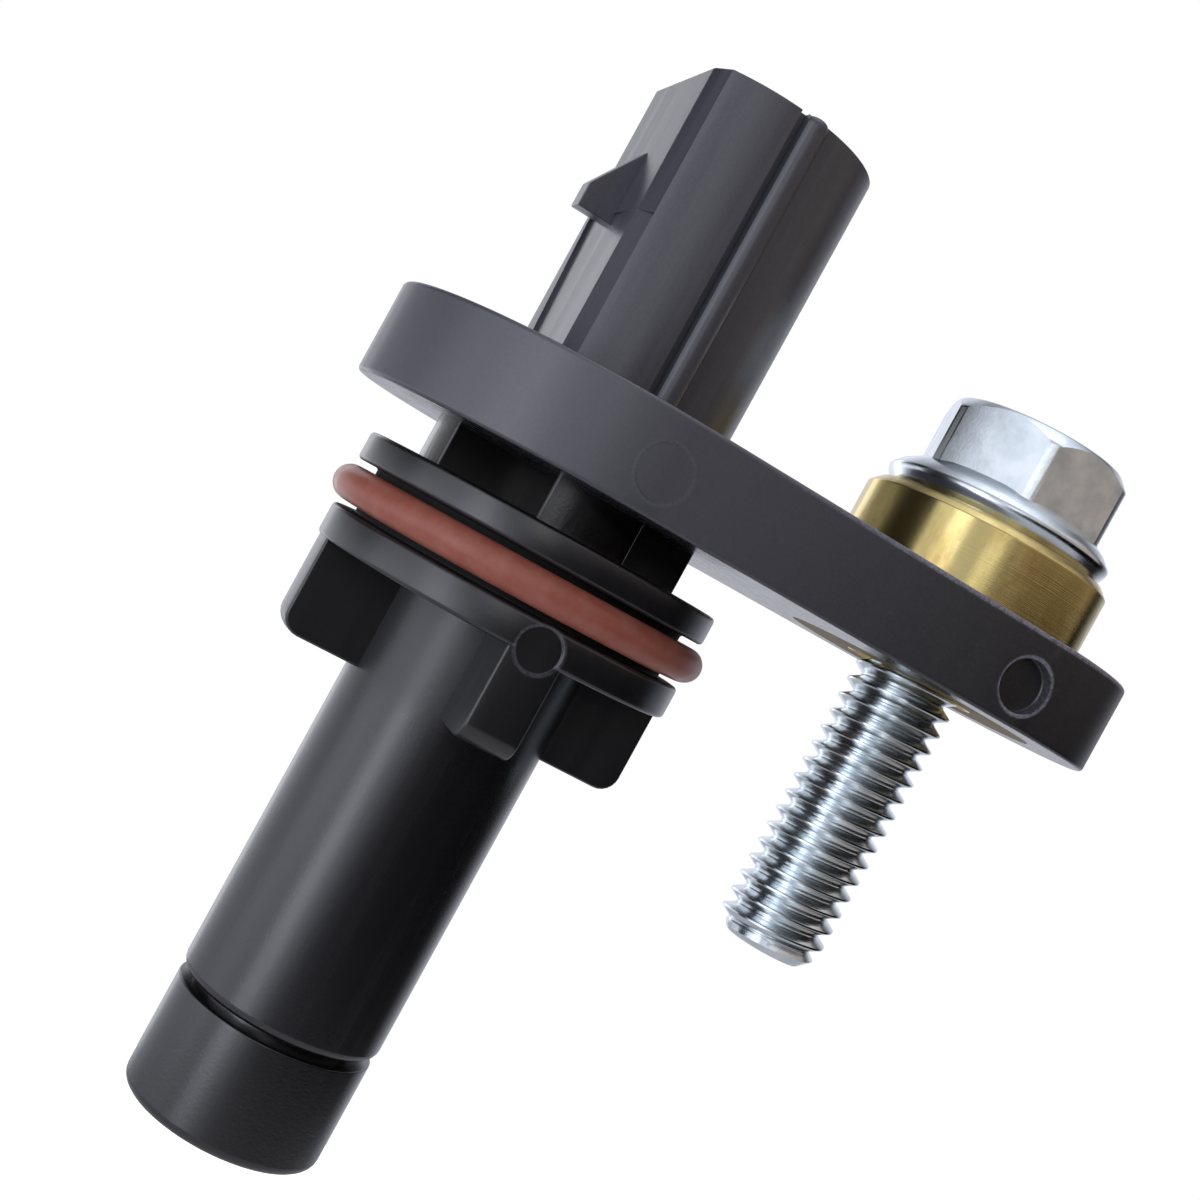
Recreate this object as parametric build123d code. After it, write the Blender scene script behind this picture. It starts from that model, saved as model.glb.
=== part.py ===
from build123d import *
from math import sqrt
import os

# Crankshaft position sensor with its fixing bolt.
# Frame: origin on the barrel axis at the flange's underside, the face that seats on the
# engine block. +Z runs up through the connector, +X runs from the barrel to the bolt.

# Engine block side: the bore the spigot fits, and the barrel below it
bore_d = 20.0                 # bore in the block
bore_clearance = 0.2          # all round, between bore and spigot discs
neck_r = 7.25                 # reach of the four neck arms
neck_arm_w = 4.8
neck_h = 2.3
upper_disc_t = 1.5
gland_w = 2.45                # groove that holds the sealing ring
gland_floor_d = 17.3
lower_disc_t = 1.7
disc_edge = 0.3               # chamfer on the discs' rims
rib_w = 2.8                   # four webs under the lower disc
rib_h = 4.85
rib_inset = 0.15              # webs stop short of the disc's rim
rib_corner_r = 1.0
barrel_d = 10.9
barrel_len = 22.05            # lower disc to the end of the sleeve
barrel_chamfer = 0.6

# Nose cup, moulded apart and caught in the sleeve
nose_gap = 0.4                # open groove between sleeve and nose
nose_d = 10.75
nose_len = 6.0
nose_edge_r = 0.6
nose_floor = 0.8
nose_wall = 1.35
collar_wall = 0.6             # part of the cup inside the sleeve
collar_len = 5.6
collar_ring_h = 0.8           # melt ring on the collar
collar_ring_r = 0.3

# Sealing ring
ring_section = 1.78

# Flange
flange_t = 4.9
flange_r = 11.9               # end round the barrel
bolt_x = 22.0                 # barrel axis to bolt axis
flange_bolt_r = 10.2          # end round the bolt
flange_edge = 0.25            # chamfer on the flange's rims
flange_mark_d = 2.7           # round pin mark on the front, below the connector
bolt_mark_d = 2.9             # the same, below the bush
flange_mark_z = 2.1
flange_mark_shift = 0.45      # marks stand beside the two axes, towards +X
web_mark_d = 2.35
web_mark_drop = 1.25          # mark centre below the lower disc's top
mark_depth = 0.2

# Compression limiter, a turned brass bush
bush_d = 14.2
bush_bore_d = 6.8
bush_stand = 4.15             # above the flange
bush_chamfer = 0.5
bush_bore_chamfer = 0.3
bush_groove_w = 1.2           # filled by the flange's plastic
bush_groove_depth = 0.5

# Flange bolt, M6 x 25 with ten across flats, its thread rolled on a thinner shank
thread_crest_d = 5.9
thread_len = 16.3
shank_d = 5.35
bolt_len = 25.5
bolt_tip_chamfer = 0.8
head_h = 5.75
head_flats = 9.85
head_corner_d = 11.0
head_turn = 10.9              # degrees, where a corner lies
head_top_d = 9.3
head_chamfer_h = 1.0
washer_d = 13.0
washer_seat_d = 12.2
washer_rim_z = 0.95           # height of the widest ring
washer_rim_r = 0.5
washer_top_d = 10.2
washer_h = 2.0

# Connector: round, with one flat side that carries the latch
conn_r = 6.9
conn_shift = 0.85             # centre of the round, towards -X
conn_flat = 3.9               # from the centre of the round
conn_flat_half = 4.6          # half the flat's width, up to its two bevels
conn_bevel_x = 3.4            # where the bevels meet the round
conn_h = 15.5
conn_wall = 1.1
conn_depth = 12.0
conn_lead_in = 0.3            # step round the socket's mouth
conn_inner_corner_r = 0.8
key_x = 0.33                  # half-round key on the front
key_r = 0.66
key_groove_w = 0.4
key_groove_depth = 0.35
latch_w = 1.5
latch_proud = 1.8
latch_top = 4.2               # wedge starts this far under the mouth
latch_ramp_h = 2.75
latch_lip_h = 1.25
relief_depth = 0.2            # shallow step in the flat under the latch, at its far edge
relief_back = 3.4             # the step's far edge, at mid height
relief_slant = 1.2
relief_rise = 0.6             # the step's top, above the catch
relief_groove = 0.37          # depth of the groove that takes the front bevel's place

# Terminals, stamped from sheet
terminal_t = 0.64
blade_w = 1.5
blade_pitch = 3.2
blade_out = 8.0               # free length in the socket
blade_point = 0.35
strip_w = 0.9                 # lower part, towards the nose
strip_pitch = 1.4
strip_stop = 2.4              # strips end this far above the sleeve's end
jog_top = 3.6                 # above the flange's underside
jog_h = 2.6

# Lead carrier, the first moulding round the terminals
carrier_x = 4.0
carrier_y = 6.2
carrier_above = 5.8
carrier_in_cup = 0.6          # its lower end reaches into the cup
carrier_corner_r = 0.6
capacitor_w = 1.3
capacitor_h = 1.3
capacitor_t = 0.9
capacitor_rise = 5.0          # centre above the carrier's lower end

# Sensing element in the nose
holder_clearance = 0.05
holder_bottom_gap = 0.05
holder_wall = 0.7
magnet_d = 4.4
magnet_h = 3.4
pole_t = 0.8
ic_x = 3.6
ic_y = 4.4
ic_t = 1.1
leg_w = 0.45
leg_t = 0.3
leg_pitch = 1.27
leg_bend_r = 0.35
leg_reach = 1.0               # legs stand off the element's side
weld_len = 2.2
weld_step = 1.2               # from the bend to the weld

# Heights, from the flange's underside
z_disc_top = -neck_h
z_gland_top = z_disc_top - upper_disc_t
z_gland_low = z_gland_top - gland_w
z_disc_low = z_gland_low - lower_disc_t
z_rib_low = z_disc_low - rib_h
z_sleeve_end = z_disc_low - barrel_len
z_nose_top = z_sleeve_end - nose_gap
z_nose_end = z_nose_top - nose_len
z_collar_top = z_sleeve_end + collar_len
z_carrier_low = z_collar_top - carrier_in_cup
z_strip_end = z_sleeve_end + strip_stop
z_bush_top = flange_t + bush_stand
z_mouth = flange_t + conn_h
z_socket_floor = z_mouth - conn_depth
z_blade_tip = z_socket_floor + blade_out

# Radii and faces that several pieces share
barrel_r = barrel_d / 2
spigot_r = bore_d / 2 - bore_clearance
cup_r = nose_d / 2 - nose_wall
collar_r = cup_r + collar_wall
conn_flat_x = -conn_shift - conn_flat
terminal_x = -conn_shift
holder_r = cup_r - holder_clearance
z_cup_floor = z_nose_end + nose_floor
z_ic_low = z_cup_floor + holder_bottom_gap
z_ic_top = z_ic_low + ic_t
z_magnet_low = z_ic_top + holder_wall / 2
z_magnet_top = z_magnet_low + magnet_h
z_pole_top = z_magnet_top + pole_t
weld_x = terminal_x - terminal_t / 2 - leg_t / 2
leg_x = -ic_x / 2 - leg_reach
z_leg_low = z_ic_low + ic_t / 2
z_weld_top = z_strip_end + weld_len
z_step = z_strip_end - weld_step


def turned(*points):
    """Solid of revolution about Z from its half section, given as (radius, height)."""
    return revolve(Plane.XZ * make_face(Polyline(*points, close=True)), Axis.Z)


def disc(radius, z_low, z_high, x=0.0):
    """Plain cylinder about a vertical axis, between two heights."""
    return Pos(x, 0, (z_low + z_high) / 2) * Cylinder(radius, z_high - z_low)


def block(x0, x1, y0, y1, z0, z1):
    """Box between two corners."""
    return Pos((x0 + x1) / 2, (y0 + y1) / 2, (z0 + z1) / 2) * Box(x1 - x0, y1 - y0, z1 - z0)


def bent_strip(points, thickness, bend_r, width, y):
    """Flat strip bent in the XZ plane along a centre line, centred on y."""
    line = FilletPolyline(*points, radius=bend_r)
    section = Plane.XZ * trace(line, line_width=thickness)
    return Pos(0, y, 0) * extrude(section, width / 2, both=True)


def cross(reach, arm_w, z_low, z_high):
    """Four arms at right angles with a round outer end."""
    height = z_high - z_low
    arms = Box(2 * reach, arm_w, height) + Box(arm_w, 2 * reach, height)
    return Pos(0, 0, (z_low + z_high) / 2) * (arms & Cylinder(reach, height))


def d_profile():
    """Round of the connector, cut by its flat side and a bevel on each side of that."""
    bevel_y = sqrt(conn_r**2 - conn_bevel_x**2)
    out_x = conn_flat - 2 * conn_bevel_x
    out_y = 2 * bevel_y - conn_flat_half
    cut = Polyline(
        (-2 * conn_r, -out_y), (out_x, -out_y), (-conn_flat, -conn_flat_half), (-conn_flat, conn_flat_half),
        (out_x, out_y), (-2 * conn_r, out_y), close=True,
    )
    return Pos(-conn_shift, 0) * (Circle(conn_r) - make_face(cut))


def spigot():
    """Discs, sealing groove and barrel sleeve, turned in one outline."""
    gland_r = gland_floor_d / 2
    body = turned(
        (0, z_disc_top), (spigot_r, z_disc_top), (spigot_r, z_gland_top), (gland_r, z_gland_top),
        (gland_r, z_gland_low), (spigot_r, z_gland_low), (spigot_r, z_disc_low), (barrel_r, z_disc_low),
        (barrel_r, z_sleeve_end + barrel_chamfer), (barrel_r - barrel_chamfer, z_sleeve_end), (0, z_sleeve_end),
    )
    rims = [
        e for e in body.edges().filter_by(GeomType.CIRCLE)
        if abs(e.radius - spigot_r) < 1e-6
    ]
    return chamfer(rims, disc_edge)


def webs():
    """Four webs under the lower disc, with rounded lower corners."""
    reach = spigot_r - rib_inset
    z_top = z_disc_low + lower_disc_t / 2
    height = z_top - z_rib_low
    plate = Pos(0, 0, (z_top + z_rib_low) / 2) * Box(2 * reach, rib_w, height)
    plate = fillet(plate.edges().filter_by(Axis.Y).group_by(Axis.Z)[0], rib_corner_r)
    rounded = disc(reach, z_rib_low, z_top)
    return (plate + Rot(0, 0, 90) * plate) & rounded


def flange_plate():
    """Plate round the barrel and the bolt, its sides tangent to both ends."""
    ends = Circle(flange_r) + Pos(bolt_x, 0) * Circle(flange_bolt_r)
    plate = extrude(make_hull(ends.edges()), flange_t)
    rims = plate.edges().group_by(Axis.Z)
    return chamfer(rims[0] + rims[-1], flange_edge)


def pin_mark(x, z, diameter, face_y):
    """Shallow round recess in a front face, with its floor square to Y."""
    return Pos(x, face_y, z) * Rot(90, 0, 0) * Cylinder(diameter / 2, 2 * mark_depth)


def connector():
    """Round socket with a flat latch side and a half-round key."""
    shell = Pos(0, 0, flange_t) * extrude(d_profile(), conn_h)
    key_y = -sqrt(conn_r**2 - (key_x + conn_shift) ** 2)
    key = Pos(key_x, key_y, 0) * disc(key_r, flange_t, z_mouth)
    groove_x = key_x - key_r
    groove_y = -sqrt(conn_r**2 - (groove_x + conn_shift) ** 2)
    groove = block(
        groove_x - key_groove_w / 2, groove_x + key_groove_w / 2,
        groove_y - key_r, groove_y + key_groove_depth, flange_t, z_mouth,
    )
    return shell - relief() + key - groove + latch() - socket()


def relief():
    """Shallow step in the flat under the latch, with a groove along the front bevel."""
    z_low = flange_t
    z_high = z_mouth - latch_top - latch_ramp_h - latch_lip_h + relief_rise
    height = z_high - z_low
    bevel_y = -sqrt(conn_r**2 - conn_bevel_x**2)
    floor_x = conn_flat_x + relief_depth
    outside_x = conn_flat_x - relief_depth
    lean = relief_slant / 2
    side = Polyline(
        (-conn_flat_half, z_low), (relief_back - lean, z_low), (relief_back + lean, z_high),
        (-conn_flat_half, z_high), close=True,
    )
    floor = Polyline(
        (conn_flat_x, -conn_flat_half), (floor_x, relief_back), (floor_x, conn_r), (outside_x, conn_r),
        (outside_x, -conn_flat_half), close=True,
    )
    step = extrude(make_face(floor), height) & Pos(0, 0, -z_low) * extrude(
        Pos(conn_flat_x, 0, 0) * Plane.YZ * make_face(side), conn_r, both=True
    )
    inset = 1 - relief_groove / conn_r
    groove = Polyline(
        (conn_flat_x, -conn_flat_half), (-conn_shift - conn_bevel_x * inset, bevel_y * inset),
        (-conn_shift - conn_bevel_x, bevel_y), (-conn_shift - conn_bevel_x, -conn_r),
        (outside_x, -conn_r), (outside_x, -conn_flat_half), close=True,
    )
    return Pos(0, 0, z_low) * (step + extrude(make_face(groove), height))


def latch():
    """Wedge on the flat side: ramp above, square catch below."""
    z_top = z_mouth - latch_top
    z_shoulder = z_top - latch_ramp_h
    z_catch = z_shoulder - latch_lip_h
    root_x = conn_flat_x + conn_wall / 2
    tip_x = conn_flat_x - latch_proud
    outline = Polyline(
        (root_x, z_top), (conn_flat_x, z_top), (tip_x, z_shoulder), (tip_x, z_catch), (root_x, z_catch), close=True,
    )
    return extrude(Plane.XZ * make_face(outline), latch_w / 2, both=True)


def socket():
    """Hollow of the connector that the mating plug enters."""
    inner = extrude(offset(d_profile(), -conn_wall, kind=Kind.INTERSECTION), conn_depth)
    inner = fillet(inner.edges().filter_by(Axis.Z), conn_inner_corner_r)
    lead_in = offset(d_profile(), conn_lead_in - conn_wall, kind=Kind.INTERSECTION)
    return Pos(0, 0, z_socket_floor) * inner + Pos(0, 0, z_mouth - conn_lead_in) * extrude(lead_in, conn_lead_in)


def housing(inserts):
    """Outer moulding: it takes the shape of every insert that it is moulded round."""
    body = spigot() + webs() + cross(neck_r, neck_arm_w, z_disc_top, 0) + flange_plate() + connector()
    body -= pin_mark(flange_mark_shift, flange_mark_z, flange_mark_d, -flange_r)
    body -= pin_mark(bolt_x + flange_mark_shift, flange_mark_z, bolt_mark_d, -flange_bolt_r)
    body -= pin_mark(0, z_gland_low - web_mark_drop, web_mark_d, -spigot_r)
    body -= disc(cup_r, z_nose_top, z_collar_top)
    body -= disc(bush_bore_d / 2 + bush_bore_chamfer, 0, z_bush_top, bolt_x)
    for insert in inserts:
        body -= insert
    return body


def nose_cup():
    """Closed cup over the sensing element, with a collar that the sleeve grips."""
    outer = turned((0, z_nose_end), (nose_d / 2, z_nose_end), (nose_d / 2, z_nose_top), (0, z_nose_top))
    outer = fillet(outer.edges().group_by(Axis.Z)[0], nose_edge_r)
    collar = disc(collar_r, z_nose_top, z_collar_top)
    z_ring = z_sleeve_end + collar_len / 2
    ring = disc(collar_r + collar_ring_r, z_ring, z_ring + collar_ring_h)
    ring = chamfer(ring.edges().filter_by(GeomType.CIRCLE), collar_ring_r * 0.9)
    hollow = disc(cup_r, z_cup_floor, z_collar_top)
    return outer + collar + ring - hollow


def sealing_ring():
    """Rubber ring stretched on the floor of its groove."""
    section_r = ring_section / 2
    return Pos(0, 0, (z_gland_top + z_gland_low) / 2) * Torus(gland_floor_d / 2 + section_r, section_r)


def limiter():
    """Turned bush that carries the bolt's clamping load through the flange."""
    outer_r = bush_d / 2
    bore_r = bush_bore_d / 2
    groove_r = outer_r - bush_groove_depth
    z_mid = flange_t / 2
    half = bush_groove_w / 2
    body = turned(
        (bore_r, bush_bore_chamfer), (bore_r + bush_bore_chamfer, 0), (outer_r, 0), (outer_r, z_mid - half),
        (groove_r, z_mid - half), (groove_r, z_mid + half), (outer_r, z_mid + half),
        (outer_r, z_bush_top - bush_chamfer), (outer_r - bush_chamfer, z_bush_top),
        (bore_r + bush_bore_chamfer, z_bush_top), (bore_r, z_bush_top - bush_bore_chamfer),
    )
    return Pos(bolt_x, 0, 0) * body


def bolt():
    """Hexagon bolt with a washer face forged on, seated on the bush."""
    crest_r = thread_crest_d / 2
    shank_r = shank_d / 2
    thread_top = thread_len - bolt_len
    rod = turned(
        (0, -bolt_len), (crest_r - bolt_tip_chamfer, -bolt_len), (crest_r, -bolt_len + bolt_tip_chamfer),
        (crest_r, thread_top), (shank_r, thread_top + crest_r - shank_r), (shank_r, 0), (0, 0),
    )
    washer = turned(
        (0, 0), (washer_seat_d / 2, 0), (washer_d / 2, washer_rim_z - washer_rim_r / 2),
        (washer_d / 2, washer_rim_z), (washer_d / 2 - washer_rim_r, washer_rim_z + washer_rim_r),
        (washer_top_d / 2, washer_h), (0, washer_h),
    )
    hexagon = extrude(RegularPolygon(head_flats / 2, 6, major_radius=False, rotation=0), head_h)
    crown = turned(
        (0, 0), (head_corner_d / 2, 0), (head_corner_d / 2, head_h - head_chamfer_h),
        (head_top_d / 2, head_h), (0, head_h),
    )
    head = Rot(0, 0, head_turn) * (hexagon & crown)
    return Pos(bolt_x, 0, z_bush_top) * (rod + washer + head)


def terminal(side):
    """Stamped terminal: blade in the socket, a jog inwards, then a strip down to the element."""
    blade_y = side * blade_pitch
    strip_y = side * strip_pitch
    half_blade = blade_w / 2
    half_strip = strip_w / 2
    jog_low = jog_top - jog_h
    outline = Polyline(
        (blade_y - half_blade, z_blade_tip), (blade_y + half_blade, z_blade_tip),
        (blade_y + half_blade, jog_top), (strip_y + half_strip, jog_low), (strip_y + half_strip, z_strip_end),
        (strip_y - half_strip, z_strip_end), (strip_y - half_strip, jog_low), (blade_y - half_blade, jog_top),
        close=True,
    )
    flat = Pos(terminal_x, 0, 0) * extrude(Plane.YZ * make_face(outline), terminal_t / 2, both=True)
    return chamfer(flat.edges().group_by(Axis.Z)[-1].filter_by(Axis.Y), blade_point * 0.7)


def capacitor(side):
    """Suppression capacitor across two neighbouring strips."""
    x0 = terminal_x + terminal_t / 2
    y_mid = side * strip_pitch / 2
    z_mid = z_carrier_low + capacitor_rise
    return block(
        x0, x0 + capacitor_t, y_mid - capacitor_w / 2, y_mid + capacitor_w / 2,
        z_mid - capacitor_h / 2, z_mid + capacitor_h / 2,
    )


def lead_carrier(inserts):
    """First moulding, which holds the strips apart down the barrel."""
    bar = block(-carrier_x / 2, carrier_x / 2, -carrier_y / 2, carrier_y / 2, z_carrier_low, carrier_above)
    bar = fillet(bar.edges().filter_by(Axis.Z), carrier_corner_r)
    for insert in inserts:
        bar -= insert
    return bar


def element_body():
    """Sensing chip in its flat package, face down on the nose."""
    return block(-ic_x / 2, ic_x / 2, -ic_y / 2, ic_y / 2, z_ic_low, z_ic_top)


def element_leg(index):
    """Leg of the sensing chip, bent up beside the magnet and back to its strip."""
    points = [(-ic_x / 2, z_leg_low), (leg_x, z_leg_low), (leg_x, z_step), (weld_x, z_step), (weld_x, z_weld_top)]
    return bent_strip(points, leg_t, leg_bend_r, leg_w, index * leg_pitch)


def bias_magnet():
    """Round magnet behind the chip."""
    return disc(magnet_d / 2, z_magnet_low, z_magnet_top)


def pole_plate():
    """Soft iron disc on the magnet's back."""
    return disc(magnet_d / 2, z_magnet_top, z_pole_top)


def element_holder(inserts):
    """Plug that holds chip, magnet and pole plate in the nose cup."""
    plug = disc(holder_r, z_ic_low, z_pole_top + holder_wall)
    leg_span = 2 * leg_pitch + leg_w + 2 * holder_clearance
    slot = block(
        -holder_r - holder_wall, leg_x + leg_t / 2 + holder_clearance, -leg_span / 2, leg_span / 2,
        z_ic_low, z_pole_top + holder_wall,
    )
    foot = block(leg_x, -ic_x / 2, -leg_span / 2, leg_span / 2, z_ic_low, z_ic_top)
    plug = plug - slot - foot
    for insert in inserts:
        plug -= insert
    return plug


def main():
    """Builds every piece and writes one STEP file for each."""
    terminals = {f"terminal_{number}": terminal(number - 2) for number in (1, 2, 3)}
    capacitors = {"capacitor_1": capacitor(-1), "capacitor_2": capacitor(1)}
    legs = {f"element_leg_{number}": element_leg(number - 2) for number in (1, 2, 3)}
    chip, magnet, plate = element_body(), bias_magnet(), pole_plate()
    carrier = lead_carrier([*terminals.values(), *capacitors.values()])
    holder = element_holder([chip, magnet, plate, *legs.values()])
    cup, bush = nose_cup(), limiter()
    pieces = {
        "housing": housing([cup, bush, carrier, *terminals.values(), *capacitors.values()]),
        "nose_cup": cup,
        "sealing_ring": sealing_ring(),
        "compression_limiter": bush,
        "flange_bolt": bolt(),
        "lead_carrier": carrier,
        "element_holder": holder,
        "hall_element": chip,
        "bias_magnet": magnet,
        "pole_plate": plate,
        **terminals, **capacitors, **legs,
    }
    os.makedirs("parts", exist_ok=True)
    for name, solid in pieces.items():
        export_step(solid, f"parts/{name}.step")


main()
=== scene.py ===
"""Looks of the crankshaft position sensor: finishes, rounded edges, thread, studio and camera."""

import logging
import math
from dataclasses import dataclass
from enum import Enum
from typing import Callable, Sequence

import bmesh
import bpy
from mathutils import Matrix, Vector


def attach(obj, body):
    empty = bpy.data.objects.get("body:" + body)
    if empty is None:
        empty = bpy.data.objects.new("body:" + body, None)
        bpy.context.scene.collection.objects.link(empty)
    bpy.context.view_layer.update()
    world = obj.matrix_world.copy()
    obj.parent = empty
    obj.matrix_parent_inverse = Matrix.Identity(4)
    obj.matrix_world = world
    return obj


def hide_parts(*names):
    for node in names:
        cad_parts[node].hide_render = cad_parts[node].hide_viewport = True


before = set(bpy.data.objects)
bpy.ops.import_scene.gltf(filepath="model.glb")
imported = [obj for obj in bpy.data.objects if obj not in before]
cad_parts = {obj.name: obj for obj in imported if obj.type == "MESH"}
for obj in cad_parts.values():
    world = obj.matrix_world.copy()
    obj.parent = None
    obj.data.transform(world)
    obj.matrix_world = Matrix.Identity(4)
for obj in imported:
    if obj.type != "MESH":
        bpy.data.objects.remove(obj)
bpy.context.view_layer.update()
LOG = logging.getLogger("sensor")
MM = 0.001
BODY = "root"
MERGE = 1e-4         # vertices nearer than this are one, in millimetres
CUT_MERGE = 2e-5     # the same for what a Boolean leaves
SHARP_DEG = 18.0     # edges sharper than this are rounded
SMOOTH_DEG = 30.0    # edges flatter than this are shaded smooth
BMesh = bmesh.types.BMesh
BMVert = bmesh.types.BMVert
Material = bpy.types.Material
Socket = bpy.types.NodeSocket
Value = float | Sequence[float] | Socket
Inputs = dict[str | int, Value] | Sequence[Value]
Pair = tuple[float, float]
Triple = tuple[float, float, float]


# Colour and node helpers


def linear(hex_colour: str) -> tuple[float, float, float, float]:
    """Turns an sRGB hex colour into the linear colour that sockets take.

    Args:
        hex_colour: colour as "#rrggbb".

    Returns:
        Red, green, blue and alpha, linear.
    """
    parts = [int(hex_colour[i:i + 2], 16) / 255 for i in (1, 3, 5)]
    out = [c / 12.92 if c <= 0.04045 else ((c + 0.055) / 1.055) ** 2.4 for c in parts]
    return out[0], out[1], out[2], 1.0


class Nodes:
    """Nodes of a new material or world, which starts with its shader linked to its output."""

    def __init__(self, owner: Material | bpy.types.World) -> None:
        """Opens the node tree.

        Args:
            owner: the new material or world.
        """
        owner.use_nodes = True
        self.tree = owner.node_tree

    def fill(self, node: bpy.types.Node, inputs: Inputs) -> None:
        """Sets or links a node's inputs.

        Args:
            node: the node.
            inputs: values or other nodes' outputs, in order or by socket name or index.
        """
        for key, value in inputs.items() if isinstance(inputs, dict) else enumerate(inputs):
            if isinstance(value, Socket):
                self.tree.links.new(value, node.inputs[key])
            else:
                node.inputs[key].default_value = value

    def add(self, kind: str, inputs: Inputs = (), out: int | str = 0, **settings: object) -> Socket:
        """Adds a node, sets its properties and fills or links its inputs.

        Args:
            kind: its type after "ShaderNode", such as "TexNoise".
            inputs: values or other nodes' outputs, in order or by socket name or index.
            out: index or name of the output that is given.
            settings: its properties.

        Returns:
            The output.
        """
        node = self.tree.nodes.new("ShaderNode" + kind)
        for key, value in settings.items():
            setattr(node, key, value)
        self.fill(node, inputs)
        return node.outputs[out]


class Shader(Nodes):
    """A material with one Principled shader, whose patterns read Object coordinates."""

    def __init__(self, name: str, tint: str) -> None:
        """Makes the plain material.

        Args:
            name: the finish's name.
            tint: sRGB hex colour for the viewport.
        """
        self.material = bpy.data.materials.new(name)
        self.material.diffuse_color = linear(tint)
        super().__init__(self.material)
        self.coords = self.add("TexCoord", out="Object")

    def finished(self, **inputs: Value) -> Material:
        """Fills the Principled shader.

        Args:
            inputs: values by socket name; underscores stand for spaces.

        Returns:
            The material.
        """
        surface = self.tree.nodes["Principled BSDF"]
        surface.inputs["Base Color"].default_value = self.material.diffuse_color
        self.fill(surface, {key.replace("_", " "): value for key, value in inputs.items()})
        return self.material


# Finishes


@dataclass(frozen=True)
class SkinAndPaintedLight:
    """Tone and roughness between two heights: the mould's skin, with painted shade on some heights and painted light
    on others.
    """

    low_mm: float
    high_mm: float
    tone: str
    roughness: float


@dataclass(frozen=True)
class Mark:
    """Whitened ring that an ejector pin leaves in a front face, and how dark its hollow's floor is painted as shade.
    """

    x_mm: float
    z_mm: float
    radius_mm: float
    strength: float
    floor: float


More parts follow.
